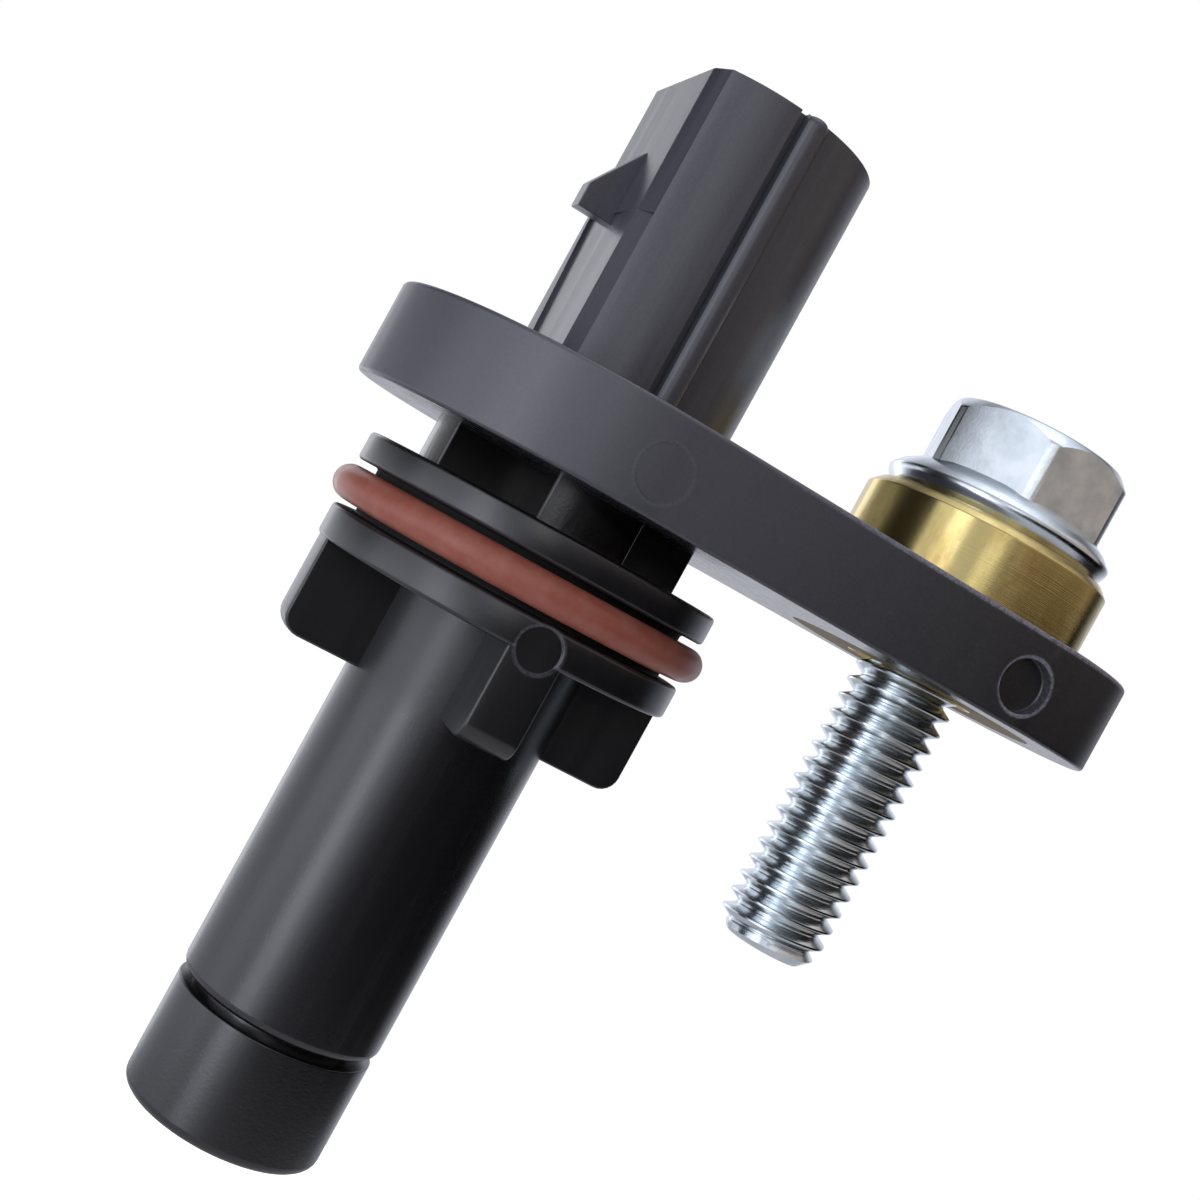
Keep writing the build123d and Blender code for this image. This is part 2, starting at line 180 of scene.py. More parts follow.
@dataclass(frozen=True)
class MouldedNylon:
    """Black glass-filled nylon 66, moulded: satin where the mould was polished, matt where it was spark-eroded.

    The glass gives the eye a fine pale speckle, and the eroded skin scatters light that the satin skin mirrors.
    The skin is whitened where pins pushed and along the flash on the flange's upper edge. Painted shade darkens it
    towards the bolt, on the floor of the deep pin mark and on the panel under the latch, which is also scored and
    dull. The neck and the floor of the ring's groove are painted near black as shade, and the flange's and the
    connector's lighter tones are partly their matt skin and partly painted light.
    """

    name: str = "glass_filled_nylon"
    # tones by height; some hold painted shade or painted light, as noted on their rows
    skins_and_painted_light: tuple[SkinAndPaintedLight, ...] = (
        SkinAndPaintedLight(-40.0, -13.5, "#131317", 0.26),     # barrel, polished
        SkinAndPaintedLight(-12.5, -8.1, "#101014", 0.33),      # webs
        SkinAndPaintedLight(-7.9, -6.29, "#131317", 0.30),      # lower disc
        # painted shade: the groove's floor is painted near black
        SkinAndPaintedLight(-6.22, -3.83, "#020203", 0.80),     # floor of the ring's groove
        SkinAndPaintedLight(-3.76, -2.4, "#131317", 0.30),      # upper disc
        # painted shade: the neck under the flange is painted near black
        SkinAndPaintedLight(-2.2, -0.02, "#020203", 0.22),      # neck
        # lighter, partly for the matt eroded skin and partly as painted light
        SkinAndPaintedLight(0.02, 4.86, "#484950", 0.38),       # flange, eroded
        # lighter, partly for its matt skin and partly as painted light
        SkinAndPaintedLight(4.94, 30.0, "#36373f", 0.35),       # connector
    )
    marks: tuple[Mark, ...] = (
        Mark(22.45, 2.1, 1.50, 0.6, 1.0), Mark(0.0, -7.5, 1.18, 0.20, 0.0), Mark(0.45, 2.1, 1.42, 0.08, 0.0),
    )
    worn: str = "#9a9aa8"
    # colour of the painted shade
    painted_shade_tone: str = "#0b0b0e"
    speckle_mm: float = 0.16               # fibre ends, drawn coarse enough to show
    speckle_depth: float = 0.0045
    speckle_shares: Pair = (0.008, 0.045)  # whitening by fibre ends, below the flange and from it up
    streak_mm: float = 1.0                 # flow lines along the draw
    streak_share: float = 0.09             # their whitening on the connector
    streak_sheen: float = 0.03             # how far they change the roughness
    front_mm: Pair = (-4.0, -6.0)          # worn places fade in over these Y
    flash_low_mm: Pair = (4.60, 4.68)      # flash below the flange's upper edge
    flash_top_mm: Pair = (4.93, 4.91)
    flash_x_mm: Pair = (4.0, 14.0)         # it grows towards the bolt
    flash_share: float = 0.55
    # painted shade: the skin is darkened towards the bolt
    shade_mm: Pair = (3.0, 23.0)           # the skin darkens towards the bolt
    shade: float = 0.90
    ring_mm: Pair = (0.04, 0.14)           # half width of a pin's ring, full and faded out
    # painted shade on the hollow's floor fades out this far inside the ring
    floor_mm: Pair = (0.15, 0.10)          # its dark floor fades out this far inside the ring
    panel_x_mm: Pair = (-4.76, -4.77)      # relieved panel under the latch
    panel_low_mm: Pair = (4.9, 5.0)
    panel_top_mm: Pair = (12.17, 12.12)
    # painted shade on the panel under the latch
    panel_shade: float = 0.9
    panel_rough: float = 0.3
    score_mm: float = 0.30                 # scores across the panel
    score_depth: float = 0.15

    def by_height(self, s: Shader, z: Socket, look: Callable[[SkinAndPaintedLight], Sequence[float]]) -> Socket:
        """Gives every skin its own colour, changing evenly from one skin to the next.

        Args:
            s: the shader.
            z: height in millimetres.
            look: gives a skin's colour.

        Returns:
            The colour socket.
        """
        low, high = self.skins_and_painted_light[0].low_mm, self.skins_and_painted_light[-1].high_mm
        ends = [(edge, skin) for skin in self.skins_and_painted_light for edge in (skin.low_mm, skin.high_mm)]
        ramp = s.add("ValToRGB", (s.add("MapRange", (z, low, high)),))
        elements = ramp.node.color_ramp.elements
        while len(elements) < len(ends):
            elements.new(1.0)
        for element, (edge, skin) in zip(elements, ends):
            element.position = (edge - low) / (high - low)
            element.color = look(skin)
        return ramp

    def worn_and_painted_shade(self, s: Shader, place: Sequence[Socket], speckle: Socket) -> tuple[Socket, Socket]:
        """Gives how far the skin is whitened by pins and flash, and how far painted shade darkens it.

        Args:
            s: the shader.
            place: X, Y and Z in millimetres.
            speckle: noise that breaks the lines up.

        Returns:
            The two value sockets, 0 to 1.
        """
        x, y, z = place
        flat = s.add("CombineXYZ", (x, 0.0, z))
        grown = s.add("MapRange", (x, *self.flash_x_mm, 0.0, self.flash_share))
        pale = s.add("Math", (s.add("MapRange", (z, *self.flash_low_mm)), grown), operation="MULTIPLY")
        pale = s.add("Math", (s.add("MapRange", (z, *self.flash_top_mm)), pale), operation="MULTIPLY")
        dark = s.add("MapRange", (x, *self.shade_mm, 0.0, self.shade))
        for mark in self.marks:
            reach = s.add("VectorMath", (flat, (mark.x_mm, 0, mark.z_mm)), "Value", operation="DISTANCE")
            away = s.add("Math", (reach, mark.radius_mm), operation="SUBTRACT")
            away = s.add("Math", (away,), operation="ABSOLUTE")
            ring = s.add("MapRange", (away, *self.ring_mm, mark.strength, 0.0))
            pale = s.add("Math", (pale, ring), operation="ADD")
            # painted shade on the floor of the pin's hollow
            if mark.floor:
                rim = [mark.radius_mm - inset for inset in self.floor_mm]
                floor = s.add("MapRange", (reach, *rim, mark.floor, 0.0))
                dark = s.add("Math", (dark, floor), operation="MAXIMUM")
        pale = s.add("Math", (pale, s.add("MapRange", (y, *self.front_mm))), operation="MULTIPLY")
        broken = s.add("MapRange", (speckle, 0.35, 0.6, 0.3, 1.0))
        return s.add("Math", (pale, broken), operation="MULTIPLY"), dark

    def panel(self, s: Shader, x: Socket, z: Socket) -> Socket:
        """Gives 1 on the coarse panel under the latch and 0 elsewhere.

        Args:
            s: the shader.
            x: X in millimetres.
            z: height in millimetres.

        Returns:
            The value socket.
        """
        inside, low, top = (
            s.add("MapRange", (value, *ends))
            for value, ends in ((x, self.panel_x_mm), (z, self.panel_low_mm), (z, self.panel_top_mm))
        )
        band = s.add("Math", (low, top), operation="MULTIPLY")
        return s.add("Math", (inside, band), operation="MULTIPLY")

    def material(self) -> Material:
        """Builds the material.

        Returns:
            The material.
        """
        s = Shader(self.name, self.skins_and_painted_light[0].tone)
        in_mm = s.add("VectorMath", (s.coords, (1 / MM, 1 / MM, 1 / MM)), operation="MULTIPLY")
        x, y, z = s.add("SeparateXYZ", (in_mm,)).node.outputs
        tone = self.by_height(s, z, lambda skin: linear(skin.tone))
        rough = self.by_height(s, z, lambda skin: (skin.roughness, skin.roughness, skin.roughness, 1.0))
        along = s.add("VectorMath", (s.coords, (1, 1, 0.06)), operation="MULTIPLY")
        across = s.add("VectorMath", (s.coords, (1, 0.25, 1)), operation="MULTIPLY")
        speckle, streak, score = (
            s.add("TexNoise", {"Vector": vector, "Scale": 1 / (size * MM), "Detail": detail, "Roughness": finer})
            for vector, size, detail, finer in (
                (s.coords, self.speckle_mm, 2.0, 0.7), (along, self.streak_mm, 3.0, 0.5),
                (across, self.score_mm, 2.0, 0.6),
            )
        )
        worn, painted_shade = self.worn_and_painted_shade(s, (x, y, z), speckle)
        panel = self.panel(s, x, z)
        streaky = s.add("MapRange", (streak, 0.42, 0.7, 0.0, self.streak_share))
        drawn = s.add("Math", (streaky, s.add("MapRange", (z, *self.panel_low_mm))), operation="MULTIPLY")
        share = s.add("MapRange", (z, -0.1, 0.0, *self.speckle_shares))
        fibres = s.add("MapRange", (speckle, 0.45, 0.8))
        grain = s.add("Math", (fibres, share, drawn), operation="MULTIPLY_ADD")
        pale = s.add("Math", (grain, worn), operation="ADD")
        # painted shade on the panel under the latch
        shaded = s.add("Math", (panel, self.panel_shade), operation="MULTIPLY")
        dark = s.add("Math", (painted_shade, shaded), operation="MAXIMUM")
        # painted shade: darker towards the bolt, on the deep pin mark's floor and on the panel under the latch
        skin = s.add("Mix", {0: dark, 6: tone, 7: linear(self.painted_shade_tone)}, 2, data_type="RGBA")
        sheen = s.add("MapRange", (streak, 0.3, 0.7, -self.streak_sheen, self.streak_sheen))
        uneven = s.add("Math", (panel, self.panel_rough, sheen), operation="MULTIPLY_ADD")
        scored = s.add("Math", (score, panel), operation="MULTIPLY")
        fine = s.add("Bump", {"Height": speckle, "Distance": self.speckle_depth * MM})
        return s.finished(
            Base_Color=s.add("Mix", {0: pale, 6: skin, 7: linear(self.worn)}, 2, data_type="RGBA"),
            Roughness=s.add("Math", (rough, uneven), operation="ADD"),
            Normal=s.add("Bump", {"Height": scored, "Distance": self.score_depth * MM, "Normal": fine}),
            IOR=1.58,
            Specular_IOR_Level=0.70,
        )


@dataclass(frozen=True)
class MouldedRubber:
    """Reddish brown silicone ring, moulded, with a dry bloom that softens its highlight."""

    name: str = "ring_rubber"
    colour: str = "#9a5646"
    pale: str = "#b07465"
    roughness: float = 0.36
    bloom_mm: float = 1.1
    grit_mm: float = 0.12
    grit_depth: float = 0.004

    def material(self) -> Material:
        """Builds the material.

        Returns:
            The material.
        """
        s = Shader(self.name, self.colour)
        bloom, grit = (
            s.add("TexNoise", {"Vector": s.coords, "Scale": 1 / (size * MM), "Detail": detail, "Roughness": 0.6})
            for size, detail in ((self.bloom_mm, 4.0), (self.grit_mm, 3.0))
        )
        share = s.add("MapRange", (bloom, 0.4, 0.7, 0.0, 0.5))
        return s.finished(
            Base_Color=s.add("Mix", {0: share, 6: linear(self.colour), 7: linear(self.pale)}, 2, data_type="RGBA"),
            Roughness=s.add("MapRange", (bloom, 0.3, 0.7, self.roughness - 0.05, self.roughness + 0.1)),
            Normal=s.add("Bump", {"Height": grit, "Distance": self.grit_depth * MM}),
            IOR=1.43,
        )


@dataclass(frozen=True)
class TurnedMetal:
    """Metal turned on a lathe about one upright axis.

    The tool lines round it smear every reflection upwards, and faces that look downwards are darker and rougher.
    """

    name: str
    colour: str
    stain: str
    # colour of faces that look downwards
    downward_tone: str
    roughness: float
    axis_x: float = 22.0          # millimetres
    line_mm: float = 0.035        # tool feed
    line_depth: float = 0.005
    chatter_mm: float = 25.0      # how long a tool line stays the same
    stain_mm: float = 1.6
    dull_rough: float = 0.4       # added to the roughness underneath

    def material(self) -> Material:
        """Builds the material.

        Returns:
            The material.
        """
        s = Shader(self.name, self.colour)
        long, fine = 1 / (self.chatter_mm * MM), 1 / (self.line_mm * MM)
        centred = s.add("VectorMath", (s.coords, (self.axis_x * MM, 0, 0)), operation="SUBTRACT")
        feed = s.add("VectorMath", (centred, (long, long, fine)), operation="MULTIPLY")
        lines = s.add("TexNoise", {"Vector": feed, "Scale": 1.0, "Detail": 3.0})
        drips = s.add("VectorMath", (s.coords, (1, 1, 0.4)), operation="MULTIPLY")
        cloud = {"Vector": drips, "Scale": 1 / (self.stain_mm * MM), "Detail": 5.0, "Roughness": 0.65}
        stain = s.add("TexNoise", cloud)
        up = s.add("SeparateXYZ", (s.add("NewGeometry", out="True Normal"),), "Z")
        below = s.add("MapRange", (up, -0.9, -0.7, 1.0, 0.0))
        share = s.add("MapRange", (stain, 0.42, 0.68, 0.0, 0.8))
        skin = s.add("Mix", {0: share, 6: linear(self.colour), 7: linear(self.stain)}, 2, data_type="RGBA")
        rough = s.add("MapRange", (stain, 0.3, 0.7, self.roughness - 0.04, self.roughness + 0.10))
        return s.finished(
            Base_Color=s.add("Mix", {0: below, 6: skin, 7: linear(self.downward_tone)}, 2, data_type="RGBA"),
            Metallic=1.0,
            Roughness=s.add("Math", (below, self.dull_rough, rough), operation="MULTIPLY_ADD"),
            Normal=s.add("Bump", {"Height": lines, "Distance": self.line_depth * MM}),
        )


@dataclass(frozen=True)
class PlatedMetal:
    """Plated or bare metal; the uneven coat gives the eye cloudy patches and a soft mirror."""

    name: str
    colour: str
    second: str
    roughness: float
    patch_mm: float = 1.6
    grit_mm: float = 0.12
    grit_depth: float = 0.003

    def material(self) -> Material:
        """Builds the material.

        Returns:
            The material.
        """
        s = Shader(self.name, self.colour)
        patch, grit = (
            s.add("TexNoise", {"Vector": s.coords, "Scale": 1 / (size * MM), "Detail": detail, "Roughness": finer})
            for size, detail, finer in ((self.patch_mm, 4.0, 0.55), (self.grit_mm, 3.0, 0.6))
        )
        share = s.add("MapRange", (patch, 0.35, 0.7))
        return s.finished(
            Base_Color=s.add("Mix", {0: share, 6: linear(self.colour), 7: linear(self.second)}, 2, data_type="RGBA"),
            Metallic=1.0,
            Roughness=s.add("MapRange", (patch, 0.3, 0.7, self.roughness - 0.05, self.roughness + 0.07)),
            Normal=s.add("Bump", {"Height": grit, "Distance": self.grit_depth * MM}),
        )


@dataclass(frozen=True)
class PlainMoulded:
    """Moulded or fired inner piece, with a light grain."""

    name: str
    colour: str
    second: str
    roughness: float
    grain_mm: float = 0.3
    grain_depth: float = 0.005

    def material(self) -> Material:
        """Builds the material.

        Returns:
            The material.
        """
        s = Shader(self.name, self.colour)
        size = {"Vector": s.coords, "Scale": 1 / (self.grain_mm * MM), "Detail": 3.0, "Roughness": 0.6}
        grain = s.add("TexNoise", size)
        share = s.add("MapRange", (grain, 0.4, 0.7))
        return s.finished(
            Base_Color=s.add("Mix", {0: share, 6: linear(self.colour), 7: linear(self.second)}, 2, data_type="RGBA"),
            Roughness=self.roughness,
            Normal=s.add("Bump", {"Height": grain, "Distance": self.grain_depth * MM}),
        )


# Mesh helpers. Meshes are made in millimetres and turned to metres when they are finished.


def linked(name: str, data: bpy.types.ID) -> bpy.types.Object:
    """Makes an object and links it to the scene.

    Args:
        name: its name.
        data: its mesh, lamp or camera.

    Returns:
        The object.
    """
    obj = bpy.data.objects.new(name, data)
    bpy.context.scene.collection.objects.link(obj)
    return obj


def meshed(name: str, bm: BMesh) -> bpy.types.Object:
    """Turns a bmesh into an object of the scene.

    Args:
        name: the object's name.
        bm: its mesh. It is freed.

    Returns:
        The object.
    """
    mesh = bpy.data.meshes.new(name)
    bm.to_mesh(mesh)
    bm.free()
    return linked(name, mesh)


def finish_piece(name: str, bm: BMesh, material: Material, node: str) -> None:
    """Turns a finished bmesh into a piece that rides on the body and stands for its CAD node.

    Args:
        name: the piece's name.
        bm: its mesh, in millimetres, in place, its faces outwards. It is freed.
        material: its finish.
        node: CAD node that it stands for.
    """
    bmesh.ops.scale(bm, verts=bm.verts, vec=(MM, MM, MM))
    limit = math.radians(SMOOTH_DEG)
    for face in bm.faces:
        face.smooth = True
    for edge in bm.edges:
        edge.smooth = len(edge.link_faces) == 2 and edge.calc_face_angle(0.0) < limit
    obj = meshed(name, bm)
    obj.data.materials.append(material)
    even = obj.modifiers.new("even_normals", "WEIGHTED_NORMAL")
    even.keep_sharp = True
    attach(obj, BODY)
    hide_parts(node)
    LOG.info("%s: %d faces", name, len(obj.data.polygons))


def tidy_shell(bm: BMesh) -> None:
    """Merges a shell's doubles and turns its faces outwards."""
    bmesh.ops.remove_doubles(bm, verts=bm.verts, dist=MERGE)
    bmesh.ops.recalc_face_normals(bm, faces=bm.faces)


def moved(bm: BMesh, by: Triple) -> BMesh:
    """Moves a shell."""
    bmesh.ops.translate(bm, verts=bm.verts, vec=by)
    return bm


def tipped(bm: BMesh, degrees: float, axis: str) -> BMesh:
    """Turns a shell about an axis through the origin."""
    bmesh.ops.rotate(bm, verts=bm.verts, cent=(0, 0, 0), matrix=Matrix.Rotation(math.radians(degrees), 3, axis))
    return bm


def raised(bm: BMesh, low: float, high: float) -> BMesh:
    """Extrudes a face that lies at height 0 into a closed shell.

    Args:
        bm: the face.
        low: height of the shell's lower face.
        high: height of its upper face.

    Returns:
        The shell.
    """
    moved(bm, (0, 0, low))
    grown = bmesh.ops.extrude_face_region(bm, geom=bm.faces[:])
    upper = [v for v in grown["geom"] if isinstance(v, BMVert)]
    bmesh.ops.translate(bm, verts=upper, vec=(0, 0, high - low))
    tidy_shell(bm)
    return bm


def rounded(bm: BMesh, size: float, steps: int, chosen: Callable[[Vector, Vector], bool] | None = None) -> None:
    """Rounds the sharp edges of a shell.

    Args:
        bm: the shell.
        size: width of the rounding, in millimetres.
        steps: faces across it.
        chosen: tells from an edge's two ends whether it is rounded; all are where it isn't given.
    """
    edges = [
        e for e in bm.edges
        if e.is_manifold and e.calc_face_angle(0.0) > math.radians(SHARP_DEG)
        and (chosen is None or chosen(e.verts[0].co, e.verts[1].co))
    ]
    bmesh.ops.bevel(
        bm, geom=edges, offset=size, offset_type="OFFSET", affect="EDGES", segments=steps, profile=0.5,
        material=-1, clamp_overlap=True,
    )


@dataclass(frozen=True)
class Corner:
    """A corner of a turned outline, in millimetres."""

    radius: float
    height: float
    rounding: float = 0.0
    steps: int = 4


def turned(outline: Sequence[tuple[float, ...]], segments: int, axis: Pair = (0.0, 0.0)) -> BMesh:
    """Spins an outline about an upright axis and rounds its rims.

    Args:
        outline: what makes each Corner, from one end on the axis to the other, or back to its start.
        segments: steps round the axis.
        axis: where the axis stands.

    Returns:
        The closed shell.
    """
    bm = bmesh.new()
    corners = [Corner(*values) for values in outline]
    ring = [bm.verts.new((c.radius, 0, c.height)) for c in corners]
    edges = [bm.edges.new(pair) for pair in zip(ring, ring[1:])]
    bmesh.ops.spin(
        bm, geom=ring + edges, cent=(0, 0, 0), axis=(0, 0, 1), angle=math.tau, steps=segments, use_merge=True
    )
    tidy_shell(bm)
    for corner in corners:
        if corner.rounding:
            rounded(bm, corner.rounding, corner.steps, lambda a, b, c=corner: on_rim(a, c) and on_rim(b, c))
    return moved(bm, (*axis, 0))


def on_rim(point: Vector, corner: Corner) -> bool:
    """Tells whether a point lies on the circle that a corner was spun into."""
    return abs(point.z - corner.height) < MERGE and abs(math.hypot(point.x, point.y) - corner.radius) < 1e-3


@dataclass(frozen=True)
class Arc:
    """A run of a flat outline round a centre, in millimetres and degrees."""

    centre: Pair
    radius: float
    start: float
    sweep: float
    steps: int


Outline = list[Arc | Pair]


def plate(outline: Outline, low: float, high: float) -> BMesh:
    """Closes arcs and corners into a face and extrudes it upwards.

    Args:
        outline: the arcs and corners, in order.
        low: height of the lower face.
        high: height of the upper face.

    Returns:
        The closed shell.
    """
    bm = bmesh.new()
    ends = []
    for item in outline:
        if isinstance(item, Arc):
            angle = math.radians(item.start)
            x, y = item.centre
            first = bm.verts.new((x + item.radius * math.cos(angle), y + item.radius * math.sin(angle), 0))
            grown = bmesh.ops.spin(
                bm, geom=[first], cent=(x, y, 0), axis=(0, 0, 1), angle=math.radians(item.sweep), steps=item.steps
            )
            last = next(v for v in grown["geom_last"] if isinstance(v, BMVert))
        else:
            first = last = bm.verts.new((*item, 0))
        ends.append((first, last))
    for (_, last), (first, _) in zip(ends, ends[1:] + ends[:1]):
        bm.edges.new((last, first))
    bmesh.ops.contextual_create(bm, geom=bm.edges[:])
    return raised(bm, low, high)


def node_copy(node: str) -> BMesh:
    """Copies a CAD node's mesh, merged and in millimetres.

    Args:
        node: the node's name.

    Returns:
        The copy.
    """
    bm = bmesh.new()
    bm.from_mesh(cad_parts[node].data)
    bmesh.ops.scale(bm, verts=bm.verts, vec=(1 / MM, 1 / MM, 1 / MM))
    bmesh.ops.remove_doubles(bm, verts=bm.verts, dist=MERGE)
    return bm


def combined(operation: str, bm: BMesh, *others: BMesh) -> BMesh:
    """Joins, cuts or intersects closed shells.

    Args:
        operation: "UNION", "DIFFERENCE" or "INTERSECT".
        bm: the first shell. It is freed.
        others: the shells that are added, taken off or shared. They are freed.

    Returns:
        The result.
    """
    objects = [meshed("blank", part) for part in (bm, *others)]
    for other in objects[1:]:
        cut = objects[0].modifiers.new("cut", "BOOLEAN")
        cut.operation = operation
        cut.solver = "EXACT"
        cut.object = other
    result = bmesh.new()
    result.from_object(objects[0], bpy.context.evaluated_depsgraph_get())
    for obj in objects:
        mesh = obj.data
        bpy.data.objects.remove(obj)
        bpy.data.meshes.remove(mesh)
    bmesh.ops.remove_doubles(result, verts=result.verts, dist=CUT_MERGE)
    return result


# Sub-assemblies


@dataclass
class Housing:
    """Outer moulding: discs and barrel, webs, neck, flange and connector, one shell."""

    nylon: Material
    spigot_radius: float = 9.8
    disc_edge: float = 0.22       # rounding of a disc's rims
    disc_top: float = -2.3
    disc_low: float = -7.95
    gland_top: float = -3.8       # the ring's groove
    gland_low: float = -6.25
    gland_radius: float = 8.65
    barrel_radius: float = 5.45
    barrel_low: float = -30.0
    cup_radius: float = 4.625     # bore that the cup's collar fills
    cup_top: float = -24.4
    web_width: float = 2.8
    web_reach: float = 9.65
    web_low: float = -12.8
    web_round: float = 1.0        # lower outer corners
    neck_width: float = 4.8
    neck_reach: float = 7.25
    flange_top: float = 4.9
    flange_edge: float = 0.22
    flange_radii: Pair = (11.9, 10.2)    # about the barrel and the bolt
    pin_lip: float = 0.12         # sloping edge of an ejector mark
    bolt_x: float = 22.0
    bush_radius: float = 7.1
    round_x: float = -0.85        # centre of the connector's round
    round_radius: float = 6.9
    flat_x: float = -4.75
    bevel_deg: float = 19.6       # a bevel's normal from the flat's
    bevel_stand: float = 5.217    # its face from the round's centre
    latch_x: float = -6.55        # the wedge's outer face
    latch_z: Triple = (12.2, 13.45, 16.2)
    latch_half: float = 0.75      # half its width
    key_radius: float = 0.66
    key_at: Pair = (0.33, -6.80)
    mouth: float = 20.4
    socket_depth: float = 12.0
    wall: float = 1.1
    mouth_wall: float = 0.8       # wall at the lead-in
    relief_top: float = 12.8
    room: Pair = (2.0, 3.1)       # half sizes of the room for the inner pieces

    def spigot(self) -> BMesh:
        """Spins the discs, the ring's groove and the barrel.

        Returns:
            The shell.
        """
        wide, edge, deep, slim = self.spigot_radius, self.disc_edge, self.gland_radius, self.barrel_radius
        return turned([
            (0, self.disc_top), (wide, self.disc_top, edge), (wide, self.gland_top, edge),
            (deep, self.gland_top, 0.12, 2), (deep, self.gland_low, 0.12, 2),
            (wide, self.gland_low, edge), (wide, self.disc_low, edge),
            (slim, self.disc_low, 0.2, 3), (slim, self.barrel_low, 0.55, 5), (0, self.barrel_low),
        ], 192)

    def cross(self, reach: float, width: float, low: float, high: float) -> BMesh:
        """Extrudes four arms with round ends.

        Args:
            reach: radius of the ends.
            width: width of an arm.
            low: height of the lower face.
            high: height of the upper face.

        Returns:
            The shell.
        """
        half = width / 2
        lean = math.degrees(math.asin(half / reach))
        outline: Outline = []
        for quarter, corner in enumerate(((half, half), (-half, half), (-half, -half), (half, -half))):
            outline.append(Arc((0, 0), reach, 90 * quarter - lean, 2 * lean, 8))
            outline.append(corner)
        return plate(outline, low, high)

    def webs(self) -> BMesh:
        """Makes the four webs under the lower disc, their lower corners well rounded.

        Returns:
            The shell.
        """
        low, rim = self.web_low + 0.01, self.web_reach - 0.01
        bm = self.cross(self.web_reach, self.web_width, self.web_low, -7.0)
        rounded(bm, self.web_round, 6, lambda a, b: a.z < low > b.z and min(a.xy.length, b.xy.length) > rim)
        rounded(bm, 0.13, 3, lambda a, b: min(a.z, b.z) < -7.1 and max(a.xy.length, b.xy.length) > 3)
        return bm

    def neck(self) -> BMesh:
        """Makes the cross between the upper disc and the flange, its ends inside them.

        Returns:
            The shell.
        """
        bm = self.cross(self.neck_reach, self.neck_width, -2.6, 0.5)
        rounded(bm, 0.14, 3, lambda a, b: abs(a.z - b.z) > 1 and a.xy.length > 5)
        return bm

    def flange(self) -> BMesh:
        """Makes the plate round the barrel and the bolt.

        Returns:
            The shell.
        """
        big, small = self.flange_radii
        lean = math.degrees(math.asin((big - small) / self.bolt_x))
        bm = plate([
            Arc((0, 0), big, 90 - lean, 180 + 2 * lean, 96),
            Arc((self.bolt_x, 0), small, lean - 90, 180 - 2 * lean, 88),
        ], 0.0, self.flange_top)
        rounded(bm, self.flange_edge, 4)
        return bm

    def pin_mark(self, place: Triple, radius: float, depth: float) -> BMesh:
        """Makes the cutter of a round ejector mark in a front face, out to 1 mm before the face.

        Args:
            place: its middle, on the face.
            radius: its radius.
            depth: its depth.

        Returns:
            The shell.
        """
        lip = self.pin_lip
        return moved(tipped(turned([
            (0, depth), (radius - 0.06, depth), (radius, depth - 0.06), (radius, lip * 0.8),
            (radius + lip, 0), (radius + lip, -1.0), (0, -1.0),
        ], 64), -90, "X"), place)

    def ring_mark(self, place: Triple, radius: float, depth: float) -> BMesh:
        """Makes the cutter of the thin line round an ejector pin that stands flush.

        Args:
            place: the pin's middle, on the face.
            radius: its radius.
            depth: depth of the line.

        Returns:
            The shell.
        """
        return moved(tipped(turned([
            (radius - 0.05, depth), (radius + 0.05, depth), (radius + 0.11, -1.0),
            (radius - 0.11, -1.0), (radius - 0.05, depth),
        ], 70), -90, "X"), place)

    def d_outline(self, wall: float = 0.0) -> Outline:
        """Gives the connector's outline: a round with a flat between two bevels.

        Args:
            wall: how far inside the outer face it runs.

        Returns:
            The arc and the flat's two ends.
        """
        tilt, stand = math.radians(self.bevel_deg), self.bevel_stand - wall
        radius, flat = self.round_radius - wall, self.round_x - self.flat_x - wall
        corner = (stand - flat * math.cos(tilt)) / math.sin(tilt)
        end = 180 - math.degrees(tilt + math.acos(stand / radius))
        x = self.round_x - flat
        return [Arc((self.round_x, 0), radius, -end, 2 * end, 96), (x, corner), (x, -corner)]

    def connector(self) -> BMesh:
        """Makes the socket with its latch, key and grooves.

        Returns:
            The shell.
        """
        low, high = self.flange_top - 0.5, self.mouth
        shell = plate(self.d_outline(), low, high)
        rounded(shell, 0.12, 3, lambda a, b: abs(a.z - b.z) > 1 and abs(a.y) < 5)
        rounded(shell, 0.1, 3, lambda a, b: min(a.z, b.z) > high - 0.01)
        wide = self.key_radius
        key = [(0, low), (wide, low), (wide, high, 0.4, 5), (0, high)]
        inner, tip, (base, step, end) = self.flat_x + 0.55, self.latch_x, self.latch_z
        latch = tipped(plate([
            (inner, end), (self.flat_x, end), (tip, step), (tip, base), (inner, base),
        ], -self.latch_half, self.latch_half), 90, "X")
        rounded(latch, 0.07, 2)
        shell = combined("DIFFERENCE", shell, *self.relief())
        shell = combined("UNION", shell, turned(key, 48, self.key_at), latch)
        socket = plate(self.d_outline(self.wall), high - self.socket_depth, high + 1)
        rounded(socket, 0.35, 4, lambda a, b: abs(a.z - b.z) > 1)
        lead_in = plate(self.d_outline(self.mouth_wall), high - 0.3, high + 1)
        grooves = [
            plate([(left, -8), (right, -8), (right, floor), (left, floor)], low + 0.3, high + 1)
            for left, right, floor in ((-0.62, -0.20, -6.30), (0.95, 1.09, -6.60))     # either side of the key
        ]
        return combined("DIFFERENCE", shell, socket, lead_in, *grooves)

    def relief(self) -> list[BMesh]:
        """Makes the cutters of the shallow step in the flat and of the groove along its front bevel.

        Returns:
            The cutters.
        """
        low, high, out = self.flange_top - 0.2, self.relief_top, self.flat_x - 0.6
